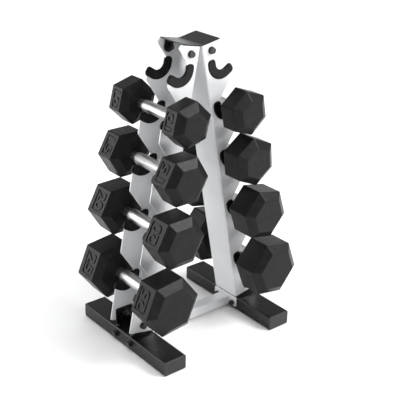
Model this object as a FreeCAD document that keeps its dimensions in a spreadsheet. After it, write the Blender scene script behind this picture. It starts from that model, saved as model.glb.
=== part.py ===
"""A-frame dumbbell rack with eight rubber-coated hexagonal dumbbells stored on it.

Frame: millimetres, +Z up, origin on the floor under the middle of the rack.
X runs from the left foot to the right foot, Y runs along the feet and along every handle.
"""
import FreeCAD, Part
import math
import os
import Sketcher
from FreeCAD import Placement, Rotation, Vector

# ----------------------------------------------------------------------------------------
# Driving dimensions, all in millimetres (angles in degrees)
# ----------------------------------------------------------------------------------------
DIMS = {
    # legs: bent sheet-metal channels that lean together into an A
    "leg_lean": 10.7,
    "leg_length": 672.0,
    "channel_width": 80.0,
    "sheet": 2.5,
    "flange_depth": 72.0,
    "flange_top_depth": 58.5,
    "bend_radius": 4.0,
    "apex_x": 1.7,
    "apex_z": 700.2,
    # hook notches cut into both flanges of each leg
    "notch_radius": 18.0,
    "notch_wall": 28.5,
    "notch_drop": 15.5,
    "lip_angle": 22.0,
    "lip_length": 17.5,
    "tooth_rise": 46.0,
    # push-on plastic trim that lines every notch
    "trim_skin": 2.0,
    "trim_band": 21.5,
    "trim_thick": 6.9,
    # feet: rectangular tubes on rubber pads
    "foot_length": 330.0,
    "foot_width": 60.0,
    "foot_height": 35.0,
    "foot_wall": 1.8,
    "foot_x": 159.5,
    "cap_plate": 3.0,
    "cap_plug": 12.0,
    "pad_thick": 1.5,
    "pad_length": 46.0,
    "pad_width": 50.0,
    # brackets that carry the legs on the feet
    "bracket_sheet": 2.5,
    "bracket_tab_top": 78.5,
    "bracket_tab_inner": 137.0,
    "bracket_tab_outer": 183.0,
    # saddle plate over the top of the legs
    "saddle_half": 50.0,
    "saddle_width": 82.0,
    "saddle_sheet": 2.5,
    # cross beam between the feet
    "beam_width": 30.0,
    "beam_height": 25.0,
    "beam_wall": 1.5,
    "beam_base": 7.5,
    "plate_thick": 3.0,
    "plate_width": 82.0,
    "plate_height": 25.5,
    "plate_base": 10.0,
    # fasteners
    "bolt_dia": 8.0,
    "bolt_head_flats": 13.0,
    "bolt_head_height": 6.0,
    "bolt_flange_dia": 17.0,
    "bolt_flange_thick": 1.6,
    "short_grip": 17.0,
    "beam_grip": 73.0,
    "nut_height": 6.5,
    "screw_dia": 5.0,
    "screw_head_dia": 10.0,
    "screw_head_height": 3.2,
    "screw_grip": 12.0,
    "beam_bolt_y": 29.0,
    "beam_bolt_z": 19.0,
    # dumbbells
    "handle_gap": 161.0,
    "bevel_depth": 13.5,
    "bevel_inset": 17.5,
    "inner_bevel": 12.0,
    "rubber_skin": 6.0,
    "handle_insert": 26.0,
    "hex_corner": 4.0,
    "panel_depth": 2.2,
}

# distance of each tier's trim end from the top of the leg
TIERS = (38.5, 138.0, 260.7, 395.3, 545.5)

# weight: tier, hexagon circumradius, side depth, handle radius in the middle and at the heads
WEIGHTS = {
    10: (1, 53.3, 38.5, 13.5, 10.0),
    15: (2, 59.0, 47.5, 14.5, 10.5),
    20: (3, 64.2, 57.0, 15.0, 11.3),
    25: (4, 72.3, 57.7, 15.2, 12.5),
}

# name: side of the rack, weight, shift along Y, direction in which the numbered facet looks
DUMBBELLS = {
    "left_10": (-1, 10, 11.8, 165.6),
    "left_15": (-1, 15, 7.1, 150.5),
    "left_20": (-1, 20, 2.1, 152.0),
    "left_25": (-1, 25, -3.8, 156.9),
    "right_10": (1, 10, 1.2, 10.5),
    "right_15": (1, 15, 9.0, 6.0),
    "right_20": (1, 20, 2.7, 18.5),
    "right_25": (1, 25, -6.3, 20.5),
}

for _weight, (_, _radius, _depth, _grip, _neck) in WEIGHTS.items():
    DIMS["head_radius_%d" % _weight] = _radius
    DIMS["head_depth_%d" % _weight] = _depth
    DIMS["grip_radius_%d" % _weight] = _grip
    DIMS["neck_radius_%d" % _weight] = _neck
for _name, (_, _, _shift, _) in DUMBBELLS.items():
    DIMS["shift_" + _name] = _shift

REST_GAP = 0.35          # air left between a resting handle and the trim
TOP_BOLT = (23.5, 17.5)   # position on the flange: out from the web, down from the top
FOOT_BOLT = (160.0, 64.0)  # world |x| and z of the bolts that hold the legs to the brackets
SCREW_SPOT = (183.5, 29.0)  # world |x| and |y| of the screws through the bracket base

doc = FreeCAD.newDocument("dumbbell_rack")


def make_sheet():
    """Write the driving dimensions into a spreadsheet, one alias per row."""
    sheet = doc.addObject("Spreadsheet::Sheet", "Dims")
    for row, (alias, value) in enumerate(DIMS.items(), start=1):
        sheet.set("A%d" % row, alias)
        sheet.set("B%d" % row, str(value))
        sheet.setAlias("B%d" % row, alias)
    doc.recompute()
    return sheet


# ----------------------------------------------------------------------------------------
# Sketch and feature helpers
# ----------------------------------------------------------------------------------------
def rounded(points):
    """Closed outline through (u, v, corner radius) points, as lines and tangent arcs."""
    count = len(points)
    corners = []
    for i, (u, v, radius) in enumerate(points):
        here = Vector(u, v, 0)
        before = (Vector(points[i - 1][0], points[i - 1][1], 0) - here).normalize()
        after_uv = points[(i + 1) % count]
        after = (Vector(after_uv[0], after_uv[1], 0) - here).normalize()
        if radius <= 0:
            corners.append((here, None, here))
            continue
        half = before.getAngle(after) / 2
        reach = radius / math.tan(half)
        inward = (before + after).normalize()
        middle = here + inward * (radius / math.sin(half) - radius)
        corners.append((here + before * reach, middle, here + after * reach))
    edges = []
    for i, (start, middle, end) in enumerate(corners):
        if middle is not None:
            edges.append(Part.Arc(start, middle, end))
        following = corners[(i + 1) % count][0]
        if (following - end).Length > 1e-6:
            edges.append(Part.LineSegment(end, following))
    return edges


def hexagon(circumradius, corner, turn=30.0):
    """Rounded regular hexagon around the sketch origin."""
    angles = [math.radians(turn + 60 * k) for k in range(6)]
    return rounded([(circumradius * math.cos(a), circumradius * math.sin(a), corner)
                    for a in angles])


def box_points(u0, v0, u1, v1, corner=0.0):
    """Corner points of an upright rectangle."""
    return [(u0, v0, corner), (u1, v0, corner), (u1, v1, corner), (u0, v1, corner)]


def new_body(name):
    """Empty body whose label is its file name."""
    body = doc.addObject("PartDesign::Body", name)
    body.Label = name
    return body


def add_sketch(body, name, role, edges, offset=0.0):
    """Sketch on one of the body's own origin planes, moved along the plane normal."""
    sketch = body.newObject("Sketcher::SketchObject", name)
    plane = next(f for f in body.Origin.OriginFeatures if f.Role == role)
    sketch.AttachmentSupport = [(plane, "")]
    sketch.MapMode = "FlatFace"
    sketch.AttachmentOffset = Placement(Vector(0, 0, offset), Rotation())
    sketch.addGeometry(edges, False)
    return sketch


def circles(spots, radius):
    """Circles of one radius at the given (u, v) spots."""
    return [Part.Circle(Vector(u, v, 0), Vector(0, 0, 1), radius) for u, v in spots]


def dimension_circles(sketch, count, half_rule):
    """Tie the radius of the sketch's circles to a sheet expression."""
    for i in range(count):
        number = sketch.addConstraint(Sketcher.Constraint("Radius", i, sketch.Geometry[i].Radius))
        sketch.renameConstraint(number, "radius_%d" % i)
        sketch.setExpression("Constraints.radius_%d" % i, half_rule)


def add_pad(body, name, sketch, rule, midplane=False, reverse=False):
    """Pad whose length follows a sheet expression."""
    pad = body.newObject("PartDesign::Pad", name)
    pad.Profile = sketch
    pad.Midplane = midplane
    pad.Reversed = reverse
    pad.setExpression("Length", rule)
    sketch.Visibility = False
    return pad


def add_pocket(body, name, sketch, rule=None, reverse=False):
    """Pocket of a given depth, or through everything both ways when no rule is given."""
    pocket = body.newObject("PartDesign::Pocket", name)
    pocket.Profile = sketch
    pocket.Reversed = reverse
    if rule is None:
        pocket.Type = "ThroughAll"
        pocket.Midplane = True
    else:
        pocket.setExpression("Length", rule)
    sketch.Visibility = False
    return pocket


def add_mid_pocket(body, name, sketch, rule):
    """Pocket of a given width, half to each side of its sketch."""
    pocket = add_pocket(body, name, sketch, rule)
    pocket.Midplane = True
    return pocket


def add_fillet(body, name, radius_rule, picks):
    """Fillet on the tip's edges for which picks(edge) is true."""
    doc.recompute()
    tip = body.Tip
    names = ["Edge%d" % (i + 1) for i, edge in enumerate(tip.Shape.Edges) if picks(edge)]
    fillet = body.newObject("PartDesign::Fillet", name)
    fillet.Base = (tip, names)
    fillet.setExpression("Radius", radius_rule)
    return fillet


def group(name, pieces):
    """One named compound of several solids."""
    compound = doc.addObject("Part::Compound", name)
    compound.Label = name
    compound.Links = pieces
    return compound


def copies(name, master, placements):
    """Group of linked copies of a master solid."""
    links = []
    for i, placement in enumerate(placements, start=1):
        link = doc.addObject("App::Link", "%s_copy_%d" % (name, i))
        link.LinkedObject = master
        link.LinkTransform = False
        link.Placement = placement
        links.append(link)
    return group(name, links)


# ----------------------------------------------------------------------------------------
# Geometry shared by the legs, the trims and the dumbbells
# ----------------------------------------------------------------------------------------
LEAN = math.radians(DIMS["leg_lean"])
LIP = math.radians(DIMS["lip_angle"])
SEAT_OUT = DIMS["notch_wall"] + DIMS["notch_radius"]
# unit vectors on the flange, as (out from the web, down from the top)
LIP_DIRECTION = (math.cos(LIP), -math.sin(LIP))
LIP_NORMAL = (math.sin(LIP), math.cos(LIP))


def leg_placement(side):
    """Leg frame: X out from the web, Z up along the leg, origin at the top of the web."""
    turn = Rotation(Vector(0, 1, 0), -DIMS["leg_lean"])
    if side < 0:
        turn = Rotation(Vector(0, 0, 1), 180).multiply(turn)
    return Placement(Vector(side * DIMS["apex_x"], 0, DIMS["apex_z"]), turn)


def leg_to_world(side, out, down, y=0.0):
    """World point of a place on the leg; y keeps its world sign on both sides."""
    point = leg_placement(1).multVec(Vector(out, y, -down))
    return Vector(side * point.x, y, point.z)


def notch_corner(radius):
    """Corner where the wall line and the lip line of a notch of this radius meet."""
    drop = radius * (1 + LIP_NORMAL[0]) / LIP_NORMAL[1]
    return (SEAT_OUT - radius, DIMS["notch_drop"] + drop)


def lip_point(radius, along):
    """Point on the lip line of a notch, a given length past the end of its arc."""
    return (SEAT_OUT + radius * LIP_NORMAL[0] + along * LIP_DIRECTION[0],
            DIMS["notch_drop"] + radius * LIP_NORMAL[1] + along * LIP_DIRECTION[1])


def handle_centre(side, weight):
    """World centre line of a handle resting in its notch."""
    tier, _, _, radius, _ = WEIGHTS[weight]
    sink = DIMS["notch_radius"] - DIMS["trim_skin"] - radius - REST_GAP
    return leg_to_world(side, SEAT_OUT - sink * math.sin(LEAN),
                        TIERS[tier] + DIMS["notch_drop"] + sink * math.cos(LEAN))


# ----------------------------------------------------------------------------------------
# Rack
# ----------------------------------------------------------------------------------------
def flange_outline():
    """Saw-toothed side of a leg: five hook notches between the top and the foot."""
    deep = DIMS["flange_depth"]
    points = [(0, 0, 0), (DIMS["flange_top_depth"] - 4.5, 0, 2), (DIMS["flange_top_depth"], -7.5, 2)]
    for i, top in enumerate(TIERS):
        corner_out, corner_down = notch_corner(DIMS["notch_radius"])
        tip_out, tip_down = lip_point(DIMS["notch_radius"], DIMS["lip_length"])
        shoulder = tip_down + (deep - tip_out) * LIP_NORMAL[1] / LIP_NORMAL[0]
        points.append((corner_out, -top, 4))
        points.append((corner_out, -(top + corner_down), DIMS["notch_radius"]))
        points.append((tip_out, -(top + tip_down), 1.5))
        points.append((deep, -(top + shoulder), 3))
        if i + 1 < len(TIERS):
            points.append((deep, -(TIERS[i + 1] - DIMS["tooth_rise"]), 4))
    points.append((deep, -DIMS["leg_length"], 3))
    points.append((0, -DIMS["leg_length"], 0))
    return rounded(points)


def make_leg(name, side):
    """Channel leg: web towards the middle of the rack, hooked flanges facing out."""
    body = new_body(name)
    outline = add_sketch(body, name + "_outline", "XZ_Plane", flange_outline())
    add_pad(body, name + "_blank", outline, "Dims.channel_width", midplane=True)
    half = DIMS["channel_width"] / 2 - DIMS["sheet"]
    bend = DIMS["bend_radius"] - DIMS["sheet"]
    hollow = add_sketch(body, name + "_hollow", "XY_Plane", rounded([
        (DIMS["sheet"], -half, bend), (110, -half, 0), (110, half, 0),
        (DIMS["sheet"], half, bend)]))
    add_pocket(body, name + "_inside", hollow)
    place = leg_placement(side)
    foot_hole = leg_placement(1).inverse().multVec(Vector(FOOT_BOLT[0], 0, FOOT_BOLT[1]))
    spots = [(TOP_BOLT[0], -TOP_BOLT[1]), (foot_hole.x, foot_hole.z)]
    holes = add_sketch(body, name + "_holes", "XZ_Plane", circles(spots, 4.2))
    dimension_circles(holes, 2, "Dims.bolt_dia / 2 + 0.2")
    add_pocket(body, name + "_bolt_holes", holes)
    edge_y = DIMS["channel_width"] / 2
    add_fillet(body, name + "_bends", "Dims.bend_radius",
               lambda e: e.Length > 500 and all(
                   abs(v.X) < 0.01 and abs(abs(v.Y) - edge_y) < 0.01 for v in e.Vertexes))
    body.Placement = place
    return body


def make_trim():
    """Master of the plastic trim: a thick J with a slot that grips the sheet."""
    inner = DIMS["notch_radius"] - DIMS["trim_skin"]
    outer = inner + DIMS["trim_band"]
    end = DIMS["lip_length"] + DIMS["trim_skin"]
    wall_in, inner_down = notch_corner(inner)
    wall_out, outer_down = notch_corner(outer)
    tip_in = lip_point(inner, end)
    tip_out = lip_point(outer, end)
    body = new_body("trim_master")
    band = add_sketch(body, "trim_band", "XZ_Plane", rounded([
        (wall_out, 0, 9), (wall_in, 0, 9), (wall_in, -inner_down, inner),
        (tip_in[0], -tip_in[1], 6.5), (tip_out[0], -tip_out[1], 8.5),
        (wall_out, -outer_down, outer)]))
    add_pad(body, "trim_blank", band, "Dims.trim_thick", midplane=True)
    metal_in, metal_down = notch_corner(DIMS["notch_radius"])
    metal_tip = lip_point(DIMS["notch_radius"], DIMS["lip_length"])
    beyond = lip_point(outer + 25, DIMS["lip_length"])
    slot = add_sketch(body, "trim_slot", "XZ_Plane", rounded([
        (metal_in, 6, 0), (metal_in, -metal_down, DIMS["notch_radius"]),
        (metal_tip[0], -metal_tip[1], 1.5), (beyond[0], -beyond[1], 0),
        (-20, -110, 0), (-20, 6, 0)]))
    add_mid_pocket(body, "trim_grip", slot, "Dims.sheet")
    return body


def make_trims(master, side_name, side):
    """Five trims on the near flange and five on the far flange of one leg."""
    middle = DIMS["channel_width"] / 2 - DIMS["sheet"] / 2
    for face_name, face in (("near", -1), ("far", 1)):
        spots = []
        for top in TIERS:
            local = Placement(Vector(0, side * face * middle, -top), Rotation())
            spots.append(leg_placement(side).multiply(local))
        copies("%s_%s_trims" % (side_name, face_name), master, spots)


def make_foot(name, side):
    """Open rectangular tube with the holes for the bracket and the beam."""
    wide = DIMS["foot_width"] / 2
    tall = DIMS["foot_height"]
    wall = DIMS["foot_wall"]
    base = DIMS["pad_thick"]
    length = DIMS["foot_length"] - 2 * DIMS["cap_plate"]
    body = new_body(name)
    outer = rounded(box_points(-wide, base, wide, base + tall, 3.5))
    inner = rounded(box_points(-wide + wall, base + wall, wide - wall, base + tall - wall, 1.7))
    ring = add_sketch(body, name + "_ring", "XZ_Plane", outer + inner)
    pad = add_pad(body, name + "_tube", ring, "Dims.foot_length - 2 * Dims.cap_plate",
                  midplane=True)
    pad.Refine = True
    bolts = add_sketch(body, name + "_beam_spots", "YZ_Plane",
                       circles([(DIMS["beam_bolt_y"], DIMS["beam_bolt_z"]),
                                (-DIMS["beam_bolt_y"], DIMS["beam_bolt_z"])], 4.2))
    dimension_circles(bolts, 2, "Dims.bolt_dia / 2 + 0.2")
    add_pocket(body, name + "_beam_holes", bolts)
    screw_x = side * (SCREW_SPOT[0] - DIMS["foot_x"])
    screws = add_sketch(body, name + "_screw_spots", "XY_Plane",
                        circles([(screw_x, SCREW_SPOT[1]), (screw_x, -SCREW_SPOT[1])], 2.5),
                        offset=base + tall / 2)
    dimension_circles(screws, 2, "Dims.screw_dia / 2")
    add_pocket(body, name + "_screw_holes", screws, "%s" % length, reverse=True)
    body.Placement = Placement(Vector(side * DIMS["foot_x"], 0, 0), Rotation())
    return body


def make_cap():
    """Master of the moulded end cap: a face plate and a hollow plug."""
    wide = DIMS["foot_width"] / 2
    base = DIMS["pad_thick"]
    top = base + DIMS["foot_height"]
    wall = DIMS["foot_wall"]
    body = new_body("cap_master")
    face = add_sketch(body, "cap_face", "XZ_Plane",
                      rounded(box_points(-wide, base, wide, top, 3.5)))
    add_pad(body, "cap_plate", face, "Dims.cap_plate")
    plug = add_sketch(body, "cap_plug_ring", "XZ_Plane", rounded(
        box_points(-wide + wall, base + wall, wide - wall, top - wall, 1.7)) + rounded(
        box_points(-wide + 4, base + 4, wide - 4, top - 4, 1)))
    add_pad(body, "cap_plug", plug, "Dims.cap_plug", reverse=True)
    add_fillet(body, "cap_round", "Dims.cap_plate * 0.45",
               lambda e: all(abs(v.Y + DIMS["cap_plate"]) < 0.01 for v in e.Vertexes))
    return body


def make_caps(master, side_name, side):
    """Two end caps on one foot."""
    reach = DIMS["foot_length"] / 2 - DIMS["cap_plate"]
    x = side * DIMS["foot_x"]
    near = Placement(Vector(x, -reach, 0), Rotation())
    far = Placement(Vector(x, reach, 0), Rotation(Vector(0, 0, 1), 180))
    copies(side_name + "_foot_caps", master, [near, far])


def make_floor_pads():
    """Four thin rubber pads under the ends of the feet."""
    body = new_body("pad_master")
    half_x = DIMS["pad_width"] / 2
    half_y = DIMS["pad_length"] / 2
    plan = add_sketch(body, "pad_plan", "XY_Plane",
                      rounded(box_points(-half_x, -half_y, half_x, half_y, 6)))
    add_pad(body, "pad_block", plan, "Dims.pad_thick")
    y = DIMS["foot_length"] / 2 - half_y - 10
    spots = [Placement(Vector(sx * DIMS["foot_x"], sy * y, 0), Rotation())
             for sx in (-1, 1) for sy in (-1, 1)]
    copies("floor_pads", body, spots)


def make_foot_bracket(name, side):
    """U bracket on a foot: a base plate and two upright tabs inside the leg's flanges."""
    inside = DIMS["channel_width"] / 2 - DIMS["sheet"]
    sheet = DIMS["bracket_sheet"]
    floor = DIMS["pad_thick"] + DIMS["foot_height"]
    body = new_body(name)
    base = add_sketch(body, name + "_plan", "XY_Plane",
                      rounded(box_points(134, -inside, 189, inside, 3)), offset=floor)
    add_pad(body, name + "_base", base, "Dims.bracket_sheet")
    low, high = DIMS["bracket_tab_inner"], DIMS["bracket_tab_outer"]
    tab = rounded([(low, floor, 0), (high, floor, 0), (high, DIMS["bracket_tab_top"], 2),
                   (low, DIMS["bracket_tab_top"], 2)])
    near = add_sketch(body, name + "_near_tab", "XZ_Plane", tab, offset=inside - sheet)
    add_pad(body, name + "_near", near, "Dims.bracket_sheet")
    far = add_sketch(body, name + "_far_tab", "XZ_Plane", tab, offset=-inside)
    add_pad(body, name + "_far", far, "Dims.bracket_sheet")
    holes = add_sketch(body, name + "_tab_holes", "XZ_Plane", circles([FOOT_BOLT], 4.2))
    dimension_circles(holes, 1, "Dims.bolt_dia / 2 + 0.2")
    add_pocket(body, name + "_bolt_holes", holes)
    screws = add_sketch(body, name + "_screw_spots", "XY_Plane",
                        circles([(SCREW_SPOT[0], SCREW_SPOT[1]),
                                 (SCREW_SPOT[0], -SCREW_SPOT[1])], 2.5))
    dimension_circles(screws, 2, "Dims.screw_dia / 2")
    add_pocket(body, name + "_screw_holes", screws)
    if side < 0:
        body.Placement = Placement(Vector(0, 0, 0), Rotation(Vector(0, 0, 1), 180))
    return body


def make_saddle():
    """Shallow V plate over the tops of both legs, with four round-ended tabs bent down."""
    sheet = DIMS["saddle_sheet"]
    half = DIMS["saddle_half"]
    inside = DIMS["channel_width"] / 2 - DIMS["sheet"]
    low_z = DIMS["apex_z"] - DIMS["apex_x"] * math.tan(LEAN)
    rise = half * math.tan(LEAN)
    thick = sheet / math.cos(LEAN)
    body = new_body("top_saddle")
    wing = add_sketch(body, "saddle_wing", "XZ_Plane", rounded([
        (0, low_z, 30), (half, low_z + rise, 0.8), (half, low_z + rise + thick, 0.8),
        (0, low_z + thick, 30), (-half, low_z + rise + thick, 0.8),
        (-half, low_z + rise, 0.8)]))
    add_pad(body, "saddle_plate", wing, "Dims.saddle_width", midplane=True)
    outlines = []
    for side in (-1, 1):
        corners = []
        for out, down, corner in ((14, 29.5, 11.9), (38, 29.5, 11.9), (38, -0.6, 0),
                                  (14, -0.6, 0)):
            spot = leg_to_world(side, out, down)
            corners.append((spot.x, spot.z, corner))
        outlines += rounded(corners)
    near = add_sketch(body, "saddle_near_tabs", "XZ_Plane", outlines, offset=inside - sheet)
    add_pad(body, "saddle_near", near, "Dims.saddle_sheet")
    far = add_sketch(body, "saddle_far_tabs", "XZ_Plane", outlines, offset=-inside)
    add_pad(body, "saddle_far", far, "Dims.saddle_sheet")
    spots = [leg_to_world(side, *TOP_BOLT) for side in (-1, 1)]
    holes = add_sketch(body, "saddle_holes", "XZ_Plane",
                       circles([(p.x, p.z) for p in spots], 4.2))
    dimension_circles(holes, 2, "Dims.bolt_dia / 2 + 0.2")
    add_pocket(body, "saddle_bolt_holes", holes)
    return body


def make_beam():
    """Rectangular tube between the two end plates."""
    half = DIMS["beam_width"] / 2
    wall = DIMS["beam_wall"]
    low = DIMS["beam_base"]
    high = low + DIMS["beam_height"]
    body = new_body("cross_beam")
    ring = add_sketch(body, "beam_ring", "YZ_Plane", rounded(
        box_points(-half, low, half, high, 3)) + rounded(
        box_points(-half + wall, low + wall, half - wall, high - wall, 1.5)))
    add_pad(body, "beam_tube", ring,
            "2 * (Dims.foot_x - Dims.foot_width / 2 - Dims.plate_thick)", midplane=True)
    return body


def make_beam_plate(name, side):
    """End plate of the beam, bolted against the inner side of a foot."""
    half = DIMS["plate_width"] / 2
    low = DIMS["plate_base"]
    body = new_body(name)
    face = add_sketch(body, name + "_face", "YZ_Plane", rounded(
        box_points(-half, low, half, low + DIMS["plate_height"], 4)) + circles(
        [(DIMS["beam_bolt_y"], DIMS["beam_bolt_z"]),
         (-DIMS["beam_bolt_y"], DIMS["beam_bolt_z"])], 4.2))
    add_pad(body, name + "_plate", face, "Dims.plate_thick")
    inner = DIMS["foot_x"] - DIMS["foot_width"] / 2
    start = inner - DIMS["plate_thick"] if side > 0 else -inner
    body.Placement = Placement(Vector(start, 0, 0), Rotation())
    return body


# ----------------------------------------------------------------------------------------
# Fasteners: masters point along +Z, with the underside of the head at z = 0
# ----------------------------------------------------------------------------------------
def make_bolt(name, grip_rule):
    """Hexagon flange bolt; the shank runs down from the head."""
    body = new_body(name)
    disc = add_sketch(body, name + "_disc", "XY_Plane",
                      circles([(0, 0)], DIMS["bolt_flange_dia"] / 2))
    dimension_circles(disc, 1, "Dims.bolt_flange_dia / 2")
    add_pad(body, name + "_flange", disc, "Dims.bolt_flange_thick")
    flats = DIMS["bolt_head_flats"] / math.sqrt(3)
    head = add_sketch(body, name + "_hex", "XY_Plane", hexagon(flats, 0.6))
    add_pad(body, name + "_head", head, "Dims.bolt_flange_thick + Dims.bolt_head_height")
    shank = add_sketch(body, name + "_round", "XY_Plane",
                       circles([(0, 0)], DIMS["bolt_dia"] / 2))
    dimension_circles(shank, 1, "Dims.bolt_dia / 2")
    add_pad(body, name + "_shank", shank, grip_rule, reverse=True)
    return body


def make_nut():
    """Hexagon nut with its bearing face at z = 0."""
    body = new_body("nut_master")
    flats = DIMS["bolt_head_flats"] / math.sqrt(3)
    ring = add_sketch(body, "nut_ring", "XY_Plane",
                      hexagon(flats, 0.6) + circles([(0, 0)], DIMS["bolt_dia"] / 2))
    add_pad(body, "nut_block", ring, "Dims.nut_height")
    return body


def make_screw():
    """Low round-headed screw with a hexagon socket."""
    body = new_body("screw_master")
    head = add_sketch(body, "screw_head", "XY_Plane",
                      circles([(0, 0)], DIMS["screw_head_dia"] / 2))
    dimension_circles(head, 1, "Dims.screw_head_dia / 2")
    add_pad(body, "screw_cap", head, "Dims.screw_head_height")
    add_fillet(body, "screw_dome", "Dims.screw_head_height * 0.6",
               lambda e: all(abs(v.Z - DIMS["screw_head_height"]) < 0.01 for v in e.Vertexes))
    socket = add_sketch(body, "screw_socket", "XY_Plane", hexagon(2.3, 0),
                        offset=DIMS["screw_head_height"])
    add_pocket(body, "screw_key", socket, "Dims.screw_head_height * 0.6")
    shank = add_sketch(body, "screw_round", "XY_Plane",
                       circles([(0, 0)], DIMS["screw_dia"] / 2))
    dimension_circles(shank, 1, "Dims.screw_dia / 2")
    add_pad(body, "screw_shank", shank, "Dims.screw_grip", reverse=True)
    return body


def facing(point, direction):
    """Placement that turns a fastener's +Z towards a direction."""
    return Placement(point, Rotation(Vector(0, 0, 1), direction))


def make_fasteners():
    """All bolts, nuts and screws, grouped by what they hold."""
    short_bolt = make_bolt("short_bolt_master", "Dims.short_grip")
    long_bolt = make_bolt("long_bolt_master", "Dims.beam_grip")
    nut = make_nut()
    screw = make_screw()
    outside = DIMS["channel_width"] / 2
    inside = outside - DIMS["sheet"] - DIMS["bracket_sheet"]
    foot_inner = DIMS["foot_x"] - DIMS["foot_width"] / 2 - DIMS["plate_thick"]
    foot_outer = DIMS["foot_x"] + DIMS["foot_width"] / 2
    corners = [(sx, sy) for sx in (-1, 1) for sy in (-1, 1)]
    top_bolts, top_nuts, leg_bolts, leg_nuts = [], [], [], []
    beam_bolts, beam_nuts, screws = [], [], []
    for sx, sy in corners:
        out = Vector(0, sy, 0)
        into = Vector(0, -sy, 0)
        top = leg_to_world(sx, *TOP_BOLT)
        low = Vector(sx * FOOT_BOLT[0], 0, FOOT_BOLT[1])
        top_bolts.append(facing(top + out * outside, out))
        top_nuts.append(facing(top + out * inside, into))
        leg_bolts.append(facing(low + out * outside, out))
        leg_nuts.append(facing(low + out * inside, into))
        hole = Vector(0, sy * DIMS["beam_bolt_y"], DIMS["beam_bolt_z"])
        beam_bolts.append(facing(hole + Vector(sx * foot_outer, 0, 0), Vector(sx, 0, 0)))
        beam_nuts.append(facing(hole + Vector(sx * foot_inner, 0, 0), Vector(-sx, 0, 0)))
        floor = DIMS["pad_thick"] + DIMS["foot_height"] + DIMS["bracket_sheet"]
        spot = Vector(sx * SCREW_SPOT[0], sy * SCREW_SPOT[1], floor)
        screws.append(facing(spot, Vector(0, 0, 1)))
    copies("saddle_bolts", short_bolt, top_bolts)
    copies("saddle_nuts", nut, top_nuts)
    copies("leg_bolts", short_bolt, leg_bolts)
    copies("leg_nuts", nut, leg_nuts)
    copies("beam_bolts", long_bolt, beam_bolts)
    copies("beam_nuts", nut, beam_nuts)
    copies("bracket_screws", screw, screws)


# ----------------------------------------------------------------------------------------
# Dumbbells: each built about its own centre with the handle along Y
# ----------------------------------------------------------------------------------------
def add_bevel(body, name, wide, wide_at, narrow, narrow_at, corner):
    """Six-sided taper between a wide and a narrow hexagon at two places along Y."""
    rim = add_sketch(body, name + "_rim", "XZ_Plane", hexagon(wide, corner), offset=-wide_at)
    face = add_sketch(body, name + "_face", "XZ_Plane", hexagon(narrow, corner * 0.8),
                      offset=-narrow_at)
    loft = body.newObject("PartDesign::AdditiveLoft", name)
    loft.Profile = rim
    loft.Sections = [face]
    loft.Ruled = True


def make_hex_block(name, radius, start, depth_rule, depth, bevels, inset, end):
    """Hexagonal block running outward from y = end * start, bevelled at both faces."""
    corner = DIMS["hex_corner"]
    small = radius - inset * 2 / math.sqrt(3)
    inner, outer = bevels
    body = new_body(name)
    base = add_sketch(body, name + "_hex", "XZ_Plane", hexagon(radius, corner),
                      offset=-end * start)
    add_pad(body, name + "_sides", base, depth_rule, reverse=end > 0)
    rim = start + depth
    add_bevel(body, name + "_outer_bevel", radius, end * rim, small, end * (rim + outer), corner)
    add_bevel(body, name + "_inner_bevel", radius, end * start, small, end * (start - inner),
              corner)
    return body


def add_bore(body, name, weight, start, rule, end):
    """Round bore for the handle, running outward from y = end * start."""
    spot = add_sketch(body, name + "_spot", "XZ_Plane",
                      circles([(0, 0)], DIMS["neck_radius_%d" % weight]), offset=-end * start)
    dimension_circles(spot, 1, "Dims.neck_radius_%d" % weight)
    return add_pocket(body, name, spot, rule, reverse=end < 0)


def make_head(prefix, weight, end, place):
    """One head: an iron core closed in by a moulded rubber skin with a number panel."""
    _, radius, depth, _, _ = WEIGHTS[weight]
    skin = DIMS["rubber_skin"]
    inner, outer = DIMS["inner_bevel"], DIMS["bevel_depth"]
    start = DIMS["handle_gap"] / 2
    name = "%s_%s" % (prefix, "near" if end < 0 else "far")
    depth_rule = "Dims.head_depth_%d" % weight
    core = make_hex_block(name + "_iron", radius - skin * 2 / math.sqrt(3), start + 0.6 * skin,
                          depth_rule + " - 1.2 * Dims.rubber_skin", depth - 1.2 * skin,
                          (inner - 0.4 * skin, outer - 0.4 * skin),
                          DIMS["bevel_inset"] - 0.6 * skin, end)
    add_bore(core, name + "_iron_bore", weight, start - inner + skin,
             "Dims.handle_insert + Dims.inner_bevel - Dims.rubber_skin", end)
    shell = make_hex_block(name + "_form", radius, start, depth_rule, depth, (inner, outer),
                           DIMS["bevel_inset"], end)
    add_bore(shell, name + "_skin_bore", weight, start - inner,
             "Dims.handle_insert + Dims.inner_bevel", end)
    apothem = radius * math.cos(math.pi / 6)
    wide = depth * 0.32
    tall = radius * 0.38
    middle = end * (start + depth * 0.46)
    panel = add_sketch(shell, name + "_panel", "YZ_Plane",
                       rounded(box_points(middle - wide, -tall, middle + wide, tall, 3)),
                       offset=apothem)
    add_pocket(shell, name + "_recess", panel, "Dims.panel_depth")
    cut = doc.addObject("Part::Cut", name + "_rubber")
    cut.Label = name + "_rubber"
    cut.Base = shell
    cut.Tool = core
    set_place(cut, prefix, place)
    return core


def set_place(item, prefix, place):
    """Put one piece of a dumbbell in its notch; its shift along Y follows the sheet."""
    item.Placement = place
    item.setExpression("Placement.Base.y", "Dims.shift_" + prefix)


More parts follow.
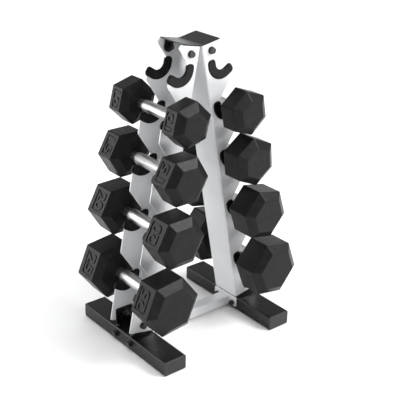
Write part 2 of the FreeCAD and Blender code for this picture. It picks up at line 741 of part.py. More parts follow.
def make_handle(prefix, weight, place):
    """Turned steel handle, thickest in the middle and necked down at the heads."""
    name = prefix + "_handle"
    _, _, _, thick, neck = WEIGHTS[weight]
    gap = DIMS["handle_gap"] / 2
    full = gap + DIMS["handle_insert"]
    flat = 44.0
    shoulder = gap - DIMS["inner_bevel"] - 6
    quarter = Vector((flat + shoulder) / 2, (thick + neck) / 2 + 0.12 * (thick - neck), 0)
    mirror = Vector(-quarter.x, quarter.y, 0)
    corners = [Vector(-full, 0, 0), Vector(-full, neck, 0), Vector(-shoulder, neck, 0),
               Vector(-flat, thick, 0), Vector(flat, thick, 0), Vector(shoulder, neck, 0),
               Vector(full, neck, 0), Vector(full, 0, 0)]
    edges = [Part.LineSegment(corners[0], corners[1]),
             Part.LineSegment(corners[1], corners[2]),
             Part.Arc(corners[2], mirror, corners[3]),
             Part.LineSegment(corners[3], corners[4]),
             Part.Arc(corners[4], quarter, corners[5]),
             Part.LineSegment(corners[5], corners[6]),
             Part.LineSegment(corners[6], corners[7]),
             Part.LineSegment(corners[7], corners[0])]
    body = new_body(name)
    outline = add_sketch(body, name + "_outline", "YZ_Plane", edges)
    turn = body.newObject("PartDesign::Revolution", name + "_turned")
    turn.Profile = outline
    turn.ReferenceAxis = (outline, ["H_Axis"])
    turn.Angle = 360
    set_place(body, prefix, place)
    return body


def make_dumbbell(prefix, side, weight, shift, facet):
    """Handle, two rubber-skinned heads and the iron inside them, resting in a notch."""
    centre = handle_centre(side, weight)
    place = Placement(Vector(centre.x, shift, centre.z), Rotation(Vector(0, 1, 0), -facet))
    make_handle(prefix, weight, place)
    cores = [make_head(prefix, weight, end, place) for end in (-1, 1)]
    iron = group(prefix + "_cores", cores)
    set_place(iron, prefix, place)


# ----------------------------------------------------------------------------------------
# Build, check and export
# ----------------------------------------------------------------------------------------
def build():
    """Make every piece of the rack and of the dumbbells."""
    make_sheet()
    trim = make_trim()
    cap = make_cap()
    for side_name, side in (("left", -1), ("right", 1)):
        make_leg(side_name + "_leg", side)
        make_trims(trim, side_name, side)
        make_foot(side_name + "_foot", side)
        make_caps(cap, side_name, side)
        make_foot_bracket(side_name + "_foot_bracket", side)
        make_beam_plate(side_name + "_beam_plate", side)
    make_saddle()
    make_beam()
    make_floor_pads()
    make_fasteners()
    for prefix, (side, weight, shift, facet) in DUMBBELLS.items():
        make_dumbbell(prefix, side, weight, shift, facet)
    doc.recompute()


def node_names():
    """Names of the objects that are exported, one file each."""
    names = ["top_saddle", "cross_beam", "floor_pads", "saddle_bolts", "saddle_nuts",
             "leg_bolts", "leg_nuts", "beam_bolts", "beam_nuts", "bracket_screws"]
    for side in ("left", "right"):
        for piece in ("leg", "near_trims", "far_trims", "foot", "foot_caps", "foot_bracket",
                      "beam_plate"):
            names.append("%s_%s" % (side, piece))
    for prefix in DUMBBELLS:
        for piece in ("handle", "near_rubber", "far_rubber", "cores"):
            names.append("%s_%s" % (prefix, piece))
    return names


def check_and_export():
    """Refuse to write anything unless every object and shape is sound."""
    for item in doc.Objects:
        if "Invalid" in item.State or "Error" in item.State:
            raise RuntimeError("object %s is in a bad state: %s" % (item.Name, item.State))
    shapes = {}
    for name in node_names():
        shape = doc.getObject(name).Shape
        if shape.isNull() or not shape.isValid() or not shape.Solids:
            raise RuntimeError("shape of %s is not a valid solid" % name)
        shapes[name] = shape
    os.makedirs("parts", exist_ok=True)
    for name, shape in shapes.items():
        shape.exportStep("parts/%s.step" % name)


build()
check_and_export()
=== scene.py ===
"""Looks for the A-frame dumbbell rack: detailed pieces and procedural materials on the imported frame."""
import bpy
import bmesh
import math
from mathutils import Matrix, Vector
from mathutils.geometry import tessellate_polygon


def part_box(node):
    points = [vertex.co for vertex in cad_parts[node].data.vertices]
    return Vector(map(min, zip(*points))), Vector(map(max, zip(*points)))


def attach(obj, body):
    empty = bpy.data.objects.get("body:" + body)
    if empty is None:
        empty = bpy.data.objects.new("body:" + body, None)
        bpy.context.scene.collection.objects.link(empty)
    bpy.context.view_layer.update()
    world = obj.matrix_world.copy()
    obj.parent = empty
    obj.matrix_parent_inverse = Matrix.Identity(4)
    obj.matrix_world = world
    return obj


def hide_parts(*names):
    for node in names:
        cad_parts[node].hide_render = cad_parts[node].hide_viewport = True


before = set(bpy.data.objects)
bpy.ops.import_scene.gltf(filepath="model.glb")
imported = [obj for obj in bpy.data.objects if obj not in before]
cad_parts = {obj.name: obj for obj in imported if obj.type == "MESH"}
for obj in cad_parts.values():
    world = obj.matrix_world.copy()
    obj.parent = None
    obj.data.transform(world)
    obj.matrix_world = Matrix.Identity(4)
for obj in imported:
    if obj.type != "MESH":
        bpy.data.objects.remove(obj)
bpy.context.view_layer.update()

MM = 0.001

# ----------------------------------------------------------------------------------------
# Dimensions shared with the CAD part, in millimetres
# ----------------------------------------------------------------------------------------
LEAN = math.radians(10.7)
LIP = math.radians(22.0)
APEX = (1.7, 700.2)
FLANGE_Y = 38.75
TIERS = (38.5, 138.0, 260.7, 395.3, 545.5)
NOTCH_RADIUS, NOTCH_WALL, NOTCH_DROP, LIP_LENGTH = 18.0, 28.5, 15.5, 17.5
SEAT_OUT = NOTCH_WALL + NOTCH_RADIUS
TRIM_SKIN, TRIM_BAND, TRIM_THICK = 2.0, 21.5, 6.9

RIM_START, INNER_BEVEL, OUTER_BEVEL, BEVEL_INSET = 80.5, 12.0, 13.5, 17.5
HEX_CORNER = 4.0
PANEL_DEPTH = 2.2
# weight: hexagon circumradius, side depth, handle radius in the middle and at the heads
WEIGHTS = {
    10: (53.3, 38.5, 13.5, 10.0),
    15: (59.0, 47.5, 14.5, 10.5),
    20: (64.2, 57.0, 15.0, 11.3),
    25: (72.3, 57.7, 15.2, 12.5),
}
# number panel: middle and half width as shares of the side depth, half height of the circumradius
PANEL_MIDDLE, PANEL_WIDE, PANEL_TALL = 0.46, 0.32, 0.38
PANEL_CORNER = 3
# digits: height as a share of the side depth, at most the second share of the circumradius;
# length of the whole number as a share of the circumradius; how far they sink into the panel
DIGIT_HEIGHT, DIGIT_LIMIT, NUMBER_LENGTH = 0.54, 0.46, 0.66
DIGIT_SINK = 0.1
# handle: half length, where its taper starts, and how far short of the head the taper ends
GRIP_END, GRIP_TAPER, GRIP_NECK_GAP = RIM_START - 4, 44.0, 6
# rounding of the trims' and the heads' edges, the flat ring inside a head's bevels, and the air
# between a handle and the bore that it enters
TRIM_EDGE, HEAD_EDGE, FACE_RING, BORE_GAP = 2.5, 2.0, 7, 0.1
# vertices closer than this, in metres, are one
WELD_GAP = 2e-6
# direction in which the numbered facet looks, from +X towards +Z
FACETS = {
    "left_10": 165.6, "left_15": 150.5, "left_20": 152.0, "left_25": 156.9,
    "right_10": 10.5, "right_15": 6.0, "right_20": 18.5, "right_25": 20.5,
}


# ----------------------------------------------------------------------------------------
# Material helpers
# ----------------------------------------------------------------------------------------
class Material:
    """A principled material with object-space noise to build detail from."""

    def __init__(self, name, **sockets):
        self.material = bpy.data.materials.new(name)
        self.material.use_nodes = True
        self.tree = self.material.node_tree
        self.shader = self.tree.nodes["Principled BSDF"]
        for socket, value in sockets.items():
            self.shader.inputs[socket.replace("_", " ")].default_value = value
        self.coords = self.tree.nodes.new("ShaderNodeTexCoord")
        self.normal = None

    def link(self, output, target):
        self.tree.links.new(output, target)

    def noise(self, scale, detail=3.0, roughness=0.55, stretch=None):
        """Noise value at a scale per metre, optionally stretched per axis."""
        node = self.tree.nodes.new("ShaderNodeTexNoise")
        node.inputs["Scale"].default_value = scale
        node.inputs["Detail"].default_value = detail
        node.inputs["Roughness"].default_value = roughness
        if stretch:
            mapping = self.tree.nodes.new("ShaderNodeMapping")
            mapping.inputs["Scale"].default_value = stretch
            self.link(self.coords.outputs["Object"], mapping.inputs["Vector"])
            self.link(mapping.outputs["Vector"], node.inputs["Vector"])
        else:
            self.link(self.coords.outputs["Object"], node.inputs["Vector"])
        return node.outputs["Fac"]

    def ramp(self, value, stops):
        """Colour ramp through (position, colour) stops."""
        node = self.tree.nodes.new("ShaderNodeValToRGB")
        elements = node.color_ramp.elements
        while len(elements) < len(stops):
            elements.new(0.5)
        for element, (place, colour) in zip(elements, stops):
            element.position = place
            element.color = (*colour, 1.0)
        self.link(value, node.inputs["Fac"])
        return node.outputs["Color"]

    def spread(self, value, low, high, start=0.3, end=0.7):
        """Value remapped to a range."""
        node = self.tree.nodes.new("ShaderNodeMapRange")
        for key, number in (("From Min", start), ("From Max", end),
                            ("To Min", low), ("To Max", high)):
            node.inputs[key].default_value = number
        self.link(value, node.inputs["Value"])
        return node.outputs["Result"]

    def math(self, operation, first, second=None):
        """Math node on sockets or numbers."""
        node = self.tree.nodes.new("ShaderNodeMath")
        node.operation = operation
        for slot, item in enumerate((first, second)):
            if item is None:
                continue
            if isinstance(item, (int, float)):
                node.inputs[slot].default_value = item
            else:
                self.link(item, node.inputs[slot])
        return node.outputs["Value"]

    def bump(self, height, strength, distance):
        """Bump layered on what is already there."""
        node = self.tree.nodes.new("ShaderNodeBump")
        node.inputs["Strength"].default_value = strength
        node.inputs["Distance"].default_value = distance
        self.link(height, node.inputs["Height"])
        if self.normal is not None:
            self.link(self.normal, node.inputs["Normal"])
        self.normal = node.outputs["Normal"]
        self.link(self.normal, self.shader.inputs["Normal"])

    def set(self, socket, output):
        self.link(output, self.shader.inputs[socket])


def powder_coat(name, light, dark, roughness, grain, metallic=0.0, specular=0.5):
    """Sprayed powder coat: faint cloudiness, orange peel and a fine grain."""
    made = Material(name, Roughness=roughness, Metallic=metallic, Specular_IOR_Level=specular)
    cloud = made.noise(9.0, 4.0)
    made.set("Base Color", made.ramp(cloud, [(0.32, dark), (0.68, light)]))
    made.set("Roughness", made.spread(made.noise(35.0, 3.0), roughness - 0.05, roughness + 0.06))
    made.bump(made.noise(420.0, 2.0), 0.20 * grain, 0.0005)
    made.bump(made.noise(1900.0, 2.0), 0.35 * grain, 0.0002)
    return made.material


def moulded_rubber(name):
    """Satin moulded rubber: mottled bloom, a fine grain and shallow mould ripple."""
    made = Material(name, Roughness=0.35, Specular_IOR_Level=0.16)
    mottle = made.noise(70.0, 6.0, 0.7)
    made.set("Base Color", made.ramp(mottle, [(0.30, (0.0055, 0.0055, 0.0058)),
                                              (0.52, (0.0080, 0.0080, 0.0085)),
                                              (0.72, (0.0130, 0.0130, 0.0138))]))
    made.set("Roughness", made.spread(made.noise(120.0, 5.0, 0.65), 0.30, 0.42))
    made.bump(made.noise(26.0, 2.0), 0.25, 0.0012)
    made.bump(made.noise(380.0, 4.0, 0.65), 0.42, 0.0007)
    return made.material


def moulded_plastic(name, colour, roughness, specular):
    """Injection-moulded plastic with a slight flow pattern."""
    made = Material(name, Roughness=roughness, Specular_IOR_Level=specular)
    dark = tuple(0.7 * c for c in colour)
    made.set("Base Color", made.ramp(made.noise(45.0, 4.0), [(0.3, dark), (0.7, colour)]))
    made.set("Roughness", made.spread(made.noise(90.0, 3.0), roughness - 0.05, roughness + 0.08))
    made.bump(made.noise(160.0, 2.0), 0.10, 0.0005)
    made.bump(made.noise(1500.0, 2.0), 0.12, 0.0001)
    return made.material


def dark_steel(name):
    """Blackened fastener steel with rubbed highlights."""
    made = Material(name, Metallic=0.4, Roughness=0.22, Specular_IOR_Level=0.8)
    made.set("Base Color", made.ramp(made.noise(260.0, 5.0), [(0.35, (0.012, 0.012, 0.012)),
                                                               (0.75, (0.050, 0.048, 0.047))]))
    made.set("Roughness", made.spread(made.noise(400.0, 4.0), 0.14, 0.32))
    made.bump(made.noise(900.0, 3.0), 0.20, 0.0002)
    return made.material


def chromed(name, knurl, roughness):
    """Chrome plate over a drawn bar: light and dark streaks along it in the base colour, partly drawn-bar
    lines and partly painted reflection streaks like strip lights and the dark gaps between them, fine
    rings and, on some, a soft knurl.
    """
    made = Material(name, Metallic=1.0, Roughness=roughness)
    # base colour streaks along the bar: drawn-bar lines together with painted reflection, light and dark
    # bands standing in for strip lights mirrored in the chrome
    streaks_and_painted_reflection = made.ramp(made.noise(230.0, 3.0, 0.6, stretch=(1.0, 0.06, 1.0)),
                     [(0.36, (0.30, 0.30, 0.30)), (0.50, (0.56, 0.56, 0.565)),
                      (0.62, (0.70, 0.70, 0.705))])
    made.set("Base Color", streaks_and_painted_reflection)
    rings = made.noise(140.0, 3.0, stretch=(0.4, 9.0, 0.4))
    made.set("Roughness", made.spread(rings, roughness - 0.04, roughness + 0.08))
    made.bump(rings, 0.05, 0.0003)
    if knurl:
        split = made.tree.nodes.new("ShaderNodeSeparateXYZ")
        made.link(made.coords.outputs["Object"], split.inputs["Vector"])
        turn = made.math("ARCTAN2", split.outputs["X"], split.outputs["Z"])
        around = made.math("MULTIPLY", turn, 24.0)
        along = made.math("MULTIPLY", split.outputs["Y"], 24.0 / 0.0140)
        first = made.math("SINE", made.math("ADD", around, along))
        second = made.math("SINE", made.math("SUBTRACT", around, along))
        diamonds = made.math("MAXIMUM", made.math("ABSOLUTE", first),
                             made.math("ABSOLUTE", second))
        reach = made.math("ABSOLUTE", split.outputs["Y"])
        fade = made.spread(reach, 1.0, 0.0, 0.050, 0.056)
        made.bump(made.math("MULTIPLY", diamonds, fade), knurl, 0.0005)
    return made.material


SILVER = powder_coat("silver_powder_coat", (0.80, 0.805, 0.815), (0.74, 0.745, 0.755), 0.36, 1.0,
                     metallic=0.2)
BLACK = powder_coat("black_powder_coat", (0.0042, 0.0042, 0.0045), (0.0028, 0.0028, 0.0030),
                    0.30, 1.3, specular=0.34)
RUBBER = moulded_rubber("head_rubber_moulded")
TRIM = moulded_plastic("trim_plastic_gloss", (0.0050, 0.0050, 0.0053), 0.09, 0.18)
CAP = moulded_plastic("cap_plastic_matt", (0.0120, 0.0120, 0.0125), 0.44, 0.5)
PAD = moulded_plastic("pad_rubber_matt", (0.022, 0.022, 0.022), 0.80, 0.4)
STEEL = dark_steel("blackened_steel")
CHROME = {10: chromed("chrome_ribbed", 0.22, 0.33), 15: chromed("chrome_knurled", 0.75, 0.33),
          20: chromed("chrome_smooth", 0.0, 0.33), 25: chromed("chrome_smooth_thick", 0.0, 0.33)}
IRON = dark_steel("core_iron_cast")


# ----------------------------------------------------------------------------------------
# Mesh helpers
# ----------------------------------------------------------------------------------------
def make_piece(name, verts, faces, material, body):
    """Mesh object from millimetre vertices in the shared frame, riding on a body."""
    mesh = bpy.data.meshes.new(name)
    mesh.from_pydata([Vector(v) * MM for v in verts], [], faces)
    work = bmesh.new()
    work.from_mesh(mesh)
    bmesh.ops.remove_doubles(work, verts=work.verts, dist=WELD_GAP)
    bmesh.ops.recalc_face_normals(work, faces=work.faces)
    work.to_mesh(mesh)
    work.free()
    mesh.materials.append(material)
    piece = bpy.data.objects.new(name, mesh)
    bpy.context.scene.collection.objects.link(piece)
    mesh.polygons.foreach_set("use_smooth", [True] * len(mesh.polygons))
    normals = piece.modifiers.new("weighted", "WEIGHTED_NORMAL")
    normals.weight = 80
    normals.keep_sharp = True
    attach(piece, body)
    return piece


def rounded(points, step=9.0):
    """Dense outline through (u, v, radius) corners, with arcs stepped in degrees."""
    outline = []
    count = len(points)
    for i, (u, v, radius) in enumerate(points):
        here = Vector((u, v))
        before = (Vector(points[i - 1][:2]) - here).normalized()
        after = (Vector(points[(i + 1) % count][:2]) - here).normalized()
        if radius <= 0:
            outline.append(here)
            continue
        half = before.angle(after) / 2
        centre = here + (before + after).normalized() * (radius / math.sin(half))
        reach = radius / math.tan(half)
        start = here + before * reach - centre
        end = here + after * reach - centre
        turn = start.angle_signed(end)
        parts = max(2, int(abs(math.degrees(turn)) / step))
        for k in range(parts + 1):
            outline.append(centre + Matrix.Rotation(-turn * k / parts, 2) @ start)
    kept = []
    for point in outline:
        if not kept or (point - kept[-1]).length > 1e-4:
            kept.append(point)
    if (kept[0] - kept[-1]).length < 1e-4:
        kept.pop()
    return kept


def inset(outline, distance):
    """Outline moved inward along its corner normals."""
    area = sum(a.x * b.y - b.x * a.y for a, b in zip(outline, outline[1:] + outline[:1]))
    sign = 1.0 if area > 0 else -1.0
    moved = []
    count = len(outline)
    for i, here in enumerate(outline):
        before = (here - outline[i - 1]).normalized()
        after = (outline[(i + 1) % count] - here).normalized()
        along = (before + after).normalized()
        normal = Vector((-along.y, along.x)) * sign
        moved.append(here + normal * distance / max(0.5, before.dot(along)))
    return moved


def cap_faces(loop, base):
    """Triangles that fill a planar outline, as vertex numbers."""
    flat = [Vector((p.x, p.y, 0)) for p in loop]
    return [tuple(base + k for k in tri) for tri in tessellate_polygon([flat])]


def slab(outline, thick, edge, to_frame, steps=4):
    """Plate with rounded edges; to_frame maps (u, v, across) to the shared frame."""
    verts, faces = [], []
    half = thick / 2
    rings = []
    for side in (-1, 1):
        for k in range(steps + 1):
            angle = math.pi / 2 * (k if side > 0 else steps - k) / steps
            rings.append((edge * (1 - math.cos(angle)), side * (half - edge + edge * math.sin(angle))))
    for shrink, across in rings:
        for point in inset(outline, shrink):
            verts.append(to_frame(point.x, point.y, across))
    count = len(outline)
    for r in range(len(rings) - 1):
        for i in range(count):
            j = (i + 1) % count
            faces.append((r * count + i, r * count + j, (r + 1) * count + j, (r + 1) * count + i))
    loop = inset(outline, edge)
    faces += cap_faces(loop, 0)
    faces += cap_faces(loop, (len(rings) - 1) * count)
    return verts, faces


def polish(node, material, width):
    """Softened edges and a better material for a CAD node that stays."""
    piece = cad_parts[node]
    piece.data.materials.clear()
    piece.data.materials.append(material)
    weld = piece.modifiers.new("weld", "WELD")
    weld.merge_threshold = WELD_GAP
    bevel = piece.modifiers.new("edges", "BEVEL")
    bevel.width = width * MM
    bevel.segments = 2
    bevel.limit_method = "ANGLE"
    bevel.angle_limit = math.radians(38)
    bevel.harden_normals = False
    normals = piece.modifiers.new("weighted", "WEIGHTED_NORMAL")
    normals.weight = 80


# ----------------------------------------------------------------------------------------
# Trims in the hook notches
# ----------------------------------------------------------------------------------------
LIP_DIRECTION = (math.cos(LIP), -math.sin(LIP))
LIP_NORMAL = (math.sin(LIP), math.cos(LIP))


def notch_corner(radius):
    """Where the wall line and the lip line of a notch of this radius meet."""
    return SEAT_OUT - radius, NOTCH_DROP + radius * (1 + LIP_NORMAL[0]) / LIP_NORMAL[1]


def lip_point(radius, along):
    """Point on the lip line of a notch, a given length past its arc."""
    return (SEAT_OUT + radius * LIP_NORMAL[0] + along * LIP_DIRECTION[0],
            NOTCH_DROP + radius * LIP_NORMAL[1] + along * LIP_DIRECTION[1])


def trim_outline():
    """J-shaped band around a notch, as (out from the web, down from the trim's end)."""
    inner = NOTCH_RADIUS - TRIM_SKIN
    outer = inner + TRIM_BAND
    end = LIP_LENGTH + TRIM_SKIN
    wall_in, inner_down = notch_corner(inner)
    wall_out, outer_down = notch_corner(outer)
    tip_in, tip_out = lip_point(inner, end), lip_point(outer, end)
    return rounded([(wall_out, 0, 9), (wall_in, 0, 9), (wall_in, inner_down, inner),
                    (*tip_in, 6.5), (*tip_out, 8.5), (wall_out, outer_down, outer)])


def leg_point(side, out, down, y):
    """Point of a leg's flange in the shared frame."""
    return (side * (APEX[0] + out * math.cos(LEAN) + down * math.sin(LEAN)), y,
            APEX[1] + out * math.sin(LEAN) - down * math.cos(LEAN))


def make_trims():
    """Five moulded trims on each flange of each leg."""
    outline = trim_outline()
    for side_name, side in (("left", -1), ("right", 1)):
        for face_name, face in (("near", -1), ("far", 1)):
            verts, faces = [], []
            for top in TIERS:
                part, part_faces = slab(outline, TRIM_THICK, TRIM_EDGE, lambda u, v, w: leg_point(
                    side, u, top + v, face * FLANGE_Y + w))
                base = len(verts)
                verts += part
                faces += [tuple(base + k for k in f) for f in part_faces]
            node = "%s_%s_trims" % (side_name, face_name)
            piece = make_piece(node + "_moulded", verts, faces, TRIM, "rack")
            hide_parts(node)


# ----------------------------------------------------------------------------------------
# Dumbbells
# ----------------------------------------------------------------------------------------
ARC = 5  # steps in each rounded corner of a hexagon


def hexagon_ring(apothem, corner):
    """Rounded hexagon as (x, z) points, one facet looking along +X."""
    points = []
    hub = (apothem - corner) * 2 / math.sqrt(3)
    for k in range(6):
        middle = math.radians(30 + 60 * k)
        for j in range(ARC + 1):
            turn = middle + math.radians(60 * j / ARC - 30)
            points.append((hub * math.cos(middle) + corner * math.cos(turn),
                           hub * math.sin(middle) + corner * math.sin(turn)))
    return points


def soften(points, radius, parts=3):
    """Open profile with its inner corners rounded."""
    made = [Vector(points[0])]
    for i in range(1, len(points) - 1):
        here = Vector(points[i])
        before = (Vector(points[i - 1]) - here).normalized()
        after = (Vector(points[i + 1]) - here).normalized()
        half = before.angle(after) / 2
        reach = radius / math.tan(half)
        centre = here + (before + after).normalized() * (radius / math.sin(half))
        start, end = here + before * reach - centre, here + after * reach - centre
        turn = start.angle_signed(end)
        for k in range(parts + 1):
            made.append(centre + Matrix.Rotation(-turn * k / parts, 2) @ start)
    made.append(Vector(points[-1]))
    return made


def head_mesh(weight, end):
    """Vertices and faces of a rubber head about the dumbbell's centre, handle along Y."""
    radius, depth, _, neck = WEIGHTS[weight]
    apothem = radius * math.sqrt(3) / 2
    far = RIM_START + depth
    profile = soften([(RIM_START - INNER_BEVEL, BEVEL_INSET + FACE_RING),
                      (RIM_START - INNER_BEVEL, BEVEL_INSET), (RIM_START, 0), (far, 0),
                      (far + OUTER_BEVEL, BEVEL_INSET), (far + OUTER_BEVEL, BEVEL_INSET + FACE_RING)],
                     HEAD_EDGE)
    verts, faces = [], []
    count = 6 * (ARC + 1)
    start = profile[0][0]
    # the mouth of the handle's bore, then the hexagonal rings
    bore = neck + BORE_GAP
    for hole_radius, y in ((bore, start + 6), (bore, start + 0.8), (neck + 1.0, start)):
        for x, z in hexagon_ring(apothem, HEX_CORNER):
            angle = math.atan2(z, x)
            verts.append((hole_radius * math.cos(angle), y * end, hole_radius * math.sin(angle)))
    for y, step_in in profile:
        corner = max(1.5, HEX_CORNER - 0.06 * step_in)
        for x, z in hexagon_ring(apothem - step_in, corner):
            verts.append((x, y * end, z))
    rings = 3 + len(profile)
    panel_ring = next(r for r in range(3, rings - 1) if profile[r - 2][0] - profile[r - 3][0] > 20)
    for r in range(rings - 1):
        for i in range(count):
            j = (i + 1) % count
            if r == panel_ring and i == count - 1:
                continue
            faces.append((r * count + i, r * count + j, (r + 1) * count + j, (r + 1) * count + i))
    faces.append(tuple((rings - 1) * count + i for i in range(count)))
    add_panel(verts, faces, weight, end, apothem, panel_ring, count)
    return verts, faces


def add_panel(verts, faces, weight, end, apothem, ring, count):
    """Recessed panel in the facet that looks along +X."""
    radius, depth, _, _ = WEIGHTS[weight]
    corners = [verts[ring * count + count - 1], verts[ring * count],
               verts[(ring + 1) * count], verts[(ring + 1) * count + count - 1]]
    middle = end * (RIM_START + depth * PANEL_MIDDLE)
    wide, tall = depth * PANEL_WIDE, radius * PANEL_TALL
    box = [(middle - wide, -tall, PANEL_CORNER), (middle + wide, -tall, PANEL_CORNER),
           (middle + wide, tall, PANEL_CORNER), (middle - wide, tall, PANEL_CORNER)]
    opening = rounded(box, 18)
    levels = [(0.0, 0.0), (0.25, 0.25), (0.55, PANEL_DEPTH - 0.25), (0.85, PANEL_DEPTH)]
    base = len(verts)
    for shrink, deep in levels:
        for point in inset(opening, shrink):
            verts.append((apothem - deep, point.x, point.y))
    size = len(opening)
    for r in range(len(levels) - 1):
        for i in range(size):
            j = (i + 1) % size
            faces.append((base + r * size + i, base + r * size + j,
                          base + (r + 1) * size + j, base + (r + 1) * size + i))
    faces.append(tuple(base + (len(levels) - 1) * size + i for i in range(size)))
    outer = [Vector((c[1], c[2], 0)) for c in corners]
    inner = [Vector((p.x, p.y, 0)) for p in opening]
    numbers = [ring * count + count - 1, ring * count, (ring + 1) * count,
               (ring + 1) * count + count - 1] + [base + i for i in range(size)]
    for tri in tessellate_polygon([outer, inner]):
        faces.append(tuple(numbers[k] for k in tri))


def number_mesh(weight, end):
    """Raised digits standing on the panel floor, about the dumbbell's centre."""
    radius, depth, _, _ = WEIGHTS[weight]
    apothem = radius * math.sqrt(3) / 2
    curve = bpy.data.curves.new("digits", "FONT")
    curve.body = str(weight)
    curve.align_x = "CENTER"
    curve.align_y = "CENTER"
    curve.offset = 0.012
    curve.extrude = 0.012
    curve.bevel_depth = 0.012
    curve.bevel_resolution = 1
    curve.resolution_u = 5
    text = bpy.data.objects.new("digits", curve)
    mesh = bpy.data.meshes.new_from_object(text)
    bpy.data.objects.remove(text)
    xs = [v.co.x for v in mesh.vertices]
    ys = [v.co.y for v in mesh.vertices]
    zs = [v.co.z for v in mesh.vertices]
    across = min(depth * DIGIT_HEIGHT, radius * DIGIT_LIMIT)
    along = radius * NUMBER_LENGTH
    scale_y = across / (max(ys) - min(ys))
    scale_x = along / (max(xs) - min(xs))
    rise = PANEL_DEPTH / (max(zs) - min(zs))
    middle = end * (RIM_START + depth * PANEL_MIDDLE)
    verts = []
    for vertex in mesh.vertices:
        u = (vertex.co.x - (max(xs) + min(xs)) / 2) * scale_x
        v = (vertex.co.y - (max(ys) + min(ys)) / 2) * scale_y
        w = (vertex.co.z - min(zs)) * rise
        verts.append((apothem - PANEL_DEPTH - DIGIT_SINK + w, middle - end * v, end * u))
    faces = [tuple(p.vertices) for p in mesh.polygons]
    bpy.data.meshes.remove(mesh)
    return verts, faces


def handle_mesh(weight):
    """Tapered round handle about the dumbbell's centre, along Y."""
    _, _, thick, neck = WEIGHTS[weight]
    shoulder = RIM_START - INNER_BEVEL - GRIP_NECK_GAP
    half = []
    for k in range(13):
        t = k / 12
        ease = (1 - math.cos(math.pi * t)) / 2
        half.append((GRIP_TAPER + (shoulder - GRIP_TAPER) * t, thick + (neck - thick) * ease))
    profile = [(-GRIP_END, neck)] + [(-y, r) for y, r in reversed(half)]
    profile += [(y, thick) for y in (-22.0, 0.0, 22.0)] + half + [(GRIP_END, neck)]
    segments = 96
    verts, faces = [], []
    for y, radius in profile:
        for k in range(segments):
            angle = 2 * math.pi * k / segments
            verts.append((radius * math.cos(angle), y, radius * math.sin(angle)))
    for r in range(len(profile) - 1):
        for k in range(segments):
            j = (k + 1) % segments
            faces.append((r * segments + k, r * segments + j,
                          (r + 1) * segments + j, (r + 1) * segments + k))
    faces.append(tuple(range(segments)))
    faces.append(tuple((len(profile) - 1) * segments + k for k in range(segments)))
    return verts, faces


def in_notch(centre, facet):
    """Matrix from the dumbbell's own centre to its place in the notch."""
    return Matrix.Translation(centre) @ Matrix.Rotation(-math.radians(facet), 4, "Y")


def make_grip(name, weight, body, centre, facet):
    """Handle, kept in its own axes so that its knurl runs round it."""
    verts, faces = handle_mesh(weight)
    piece = make_piece(name, verts, faces, CHROME[weight], body)
    piece.parent = None
    piece.matrix_world = in_notch(centre, facet)
    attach(piece, body)
    return piece


def make_part(name, built, body, centre, facet):
    """Rubber piece of a dumbbell from vertices about the dumbbell's own centre."""
    verts, faces = built
    matrix = in_notch(centre / MM, facet)
    return make_piece(name, [matrix @ Vector(v) for v in verts], faces, RUBBER, body)


def make_dumbbells():
    """Heads, numbers and handles of the eight dumbbells."""
    for prefix, facet in FACETS.items():
        weight = int(prefix.split("_")[1])
        low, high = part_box(prefix + "_handle")
        centre = (low + high) / 2
        handle = make_grip(prefix + "_grip", weight, prefix, centre, facet)
        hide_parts(prefix + "_handle")
        for side, end in (("near", -1), ("far", 1)):
            node = "%s_%s_rubber" % (prefix, side)
            head = make_part("%s_%s_head" % (prefix, side), head_mesh(weight, end), prefix,
                             centre, facet)
            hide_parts(node)
            make_part("%s_%s_number" % (prefix, side), number_mesh(weight, end), prefix,
                      centre, facet)
        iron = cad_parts[prefix + "_cores"]
        iron.data.materials.clear()
        iron.data.materials.append(IRON)


# ----------------------------------------------------------------------------------------
# Rack pieces that keep their CAD shape
# ----------------------------------------------------------------------------------------
def finish_rack():
    """Materials and softened edges for the metal of the rack."""
    for side in ("left", "right"):
        polish(side + "_leg", SILVER, 0.5)
        polish(side + "_foot", BLACK, 0.3)
        polish(side + "_foot_caps", CAP, 0.2)
        polish(side + "_foot_bracket", BLACK, 0.4)
        polish(side + "_beam_plate", SILVER, 0.5)
    polish("top_saddle", BLACK, 0.4)
    polish("cross_beam", SILVER, 0.3)
    polish("floor_pads", PAD, 0.3)
    for node in ("saddle_bolts", "saddle_nuts", "leg_bolts", "leg_nuts", "beam_bolts",
                 "beam_nuts", "bracket_screws"):
        polish(node, STEEL, 0.5)


# ----------------------------------------------------------------------------------------
# Studio
# ----------------------------------------------------------------------------------------
def make_floor():
    """Plain pale floor."""
    mesh = bpy.data.meshes.new("studio_floor")
    half = 9.0
    mesh.from_pydata([(-half, -half, 0), (half, -half, 0), (half, half, 0), (-half, half, 0)],
                     [], [(0, 1, 2, 3)])
    made = Material("studio_floor", Roughness=0.85, Specular_IOR_Level=0.2)
    made.set("Base Color", made.ramp(made.noise(2.0), [(0.0, (0.90, 0.90, 0.90)),
                                                       (1.0, (0.93, 0.93, 0.93))]))
    mesh.materials.append(made.material)
    floor = bpy.data.objects.new("studio_floor", mesh)
    bpy.context.scene.collection.objects.link(floor)


def add_light(name, spot, target, width, height, power):
    """Rectangular soft light aimed at a point."""
    data = bpy.data.lights.new(name, "AREA")
    data.shape = "RECTANGLE"
    data.size = width
    data.size_y = height
    data.energy = power
    lamp = bpy.data.objects.new(name, data)
    lamp.location = spot
    aim = Vector(target) - Vector(spot)
    lamp.rotation_mode = "QUATERNION"
    lamp.rotation_quaternion = aim.to_track_quat("-Z", "Y")
    lamp.visible_camera = False
    bpy.context.scene.collection.objects.link(lamp)


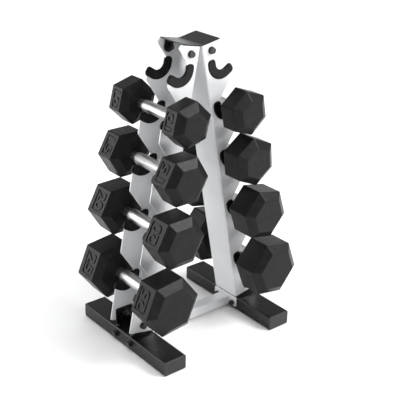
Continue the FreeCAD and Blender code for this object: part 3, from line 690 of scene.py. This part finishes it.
def make_world():
    """White to the camera; to everything else a dim studio with a bright wall behind it."""
    world = bpy.data.worlds.new("studio")
    bpy.context.scene.world = world
    world.use_nodes = True
    tree = world.node_tree
    tree.nodes.clear()

    def new(kind, **values):
        node = tree.nodes.new(kind)
        for key, value in values.items():
            setattr(node, key, value)
        return node

    def smooth(value, start, end):
        node = new("ShaderNodeMapRange", interpolation_type="SMOOTHSTEP")
        node.inputs["From Min"].default_value = min(start, end)
        node.inputs["From Max"].default_value = max(start, end)
        node.inputs["To Min"].default_value = 0.0 if start < end else 1.0
        node.inputs["To Max"].default_value = 1.0 if start < end else 0.0
        tree.links.new(value, node.inputs["Value"])
        return node.outputs["Result"]

    def combine(operation, first, second):
        node = new("ShaderNodeMath", operation=operation)
        for slot, item in enumerate((first, second)):
            if isinstance(item, float):
                node.inputs[slot].default_value = item
            else:
                tree.links.new(item, node.inputs[slot])
        return node.outputs["Value"]

    coords = new("ShaderNodeTexCoord")
    split = new("ShaderNodeSeparateXYZ")
    tree.links.new(coords.outputs["Generated"], split.inputs["Vector"])
    side = new("ShaderNodeVectorMath", operation="DOT_PRODUCT")
    side.inputs[1].default_value = (0.89, 0.45, 0.0)
    tree.links.new(coords.outputs["Generated"], side.inputs[0])
    # around the room: dim on the left, brightest towards the back right, then dimmer again
    around = new("ShaderNodeValToRGB")
    stops = ((0.0, 0.20), (0.42, 0.18), (0.53, 0.08), (0.60, 0.10), (0.75, 0.50), (0.85, 0.42),
             (0.93, 0.22), (1.0, 0.14))
    elements = around.color_ramp.elements
    while len(elements) < len(stops):
        elements.new(0.5)
    for element, (spot, level) in zip(elements, stops):
        element.position = spot
        element.color = (level, level, level, 1.0)
    half = combine("MULTIPLY", side.outputs["Value"], 0.5)
    tree.links.new(combine("ADD", half, 0.5), around.inputs["Fac"])
    # the wall behind the rack: bright up to a little above the horizon
    back = smooth(split.outputs["Y"], 0.30, 0.60)
    low = smooth(split.outputs["Z"], 0.32, 0.12)
    wall = combine("MULTIPLY", combine("MULTIPLY", back, low), 1.2)
    strength = combine("ADD", around.outputs["Color"], wall)

    path = new("ShaderNodeLightPath")
    soft = new("ShaderNodeBackground")
    soft.inputs["Color"].default_value = (0.97, 0.985, 1.0, 1)
    tree.links.new(strength, soft.inputs["Strength"])
    white = new("ShaderNodeBackground")
    white.inputs["Color"].default_value = (1, 1, 1, 1)
    white.inputs["Strength"].default_value = 1.0
    mix = new("ShaderNodeMixShader")
    out = new("ShaderNodeOutputWorld")
    tree.links.new(path.outputs["Is Camera Ray"], mix.inputs["Fac"])
    tree.links.new(soft.outputs["Background"], mix.inputs[1])
    tree.links.new(white.outputs["Background"], mix.inputs[2])
    tree.links.new(mix.outputs["Shader"], out.inputs["Surface"])


def make_lights():
    """Wide overhead softness, front-right key and a tall back-left panel."""
    target = (0, 0, 0.35)
    data = bpy.data.lights.new("overhead", "SUN")
    data.energy = 2.8
    data.angle = math.radians(90)
    lamp = bpy.data.objects.new("overhead", data)
    lamp.rotation_mode = "QUATERNION"
    lamp.rotation_quaternion = Vector((-0.12, 0.30, -1)).to_track_quat("-Z", "Y")
    bpy.context.scene.collection.objects.link(lamp)
    add_light("key", (1.48, -1.89, 2.2), target, 1.4, 1.4, 78)
    add_light("back_left", (-2.0, 2.1, 1.15), target, 1.7, 2.3, 44)


def make_camera():
    """Camera at the viewing angle of the photograph."""
    azimuth, elevation, roll = math.radians(-39.8626), math.radians(24.5499), math.radians(1.3524)
    back = Vector((math.sin(azimuth) * math.cos(elevation),
                   -math.cos(azimuth) * math.cos(elevation), math.sin(elevation)))
    level = Vector((0, 0, 1)).cross(back).normalized()
    upright = back.cross(level)
    right = level * math.cos(roll) + upright * math.sin(roll)
    up = upright * math.cos(roll) - level * math.sin(roll)
    data = bpy.data.cameras.new("camera")
    data.lens = 78.53
    data.sensor_width = 36.0
    data.clip_start = 0.05
    data.clip_end = 50.0
    camera = bpy.data.objects.new("camera", data)
    turn = Matrix((right, up, back)).transposed().to_4x4()
    camera.matrix_world = Matrix.Translation((-1.20518, -1.51801, 1.19176)) @ turn
    bpy.context.scene.collection.objects.link(camera)
    bpy.context.scene.camera = camera


bpy.context.scene.view_settings.view_transform = "Standard"
bpy.context.scene.view_settings.look = "None"
make_camera()
make_floor()
make_world()
make_lights()
finish_rack()
make_trims()
make_dumbbells()
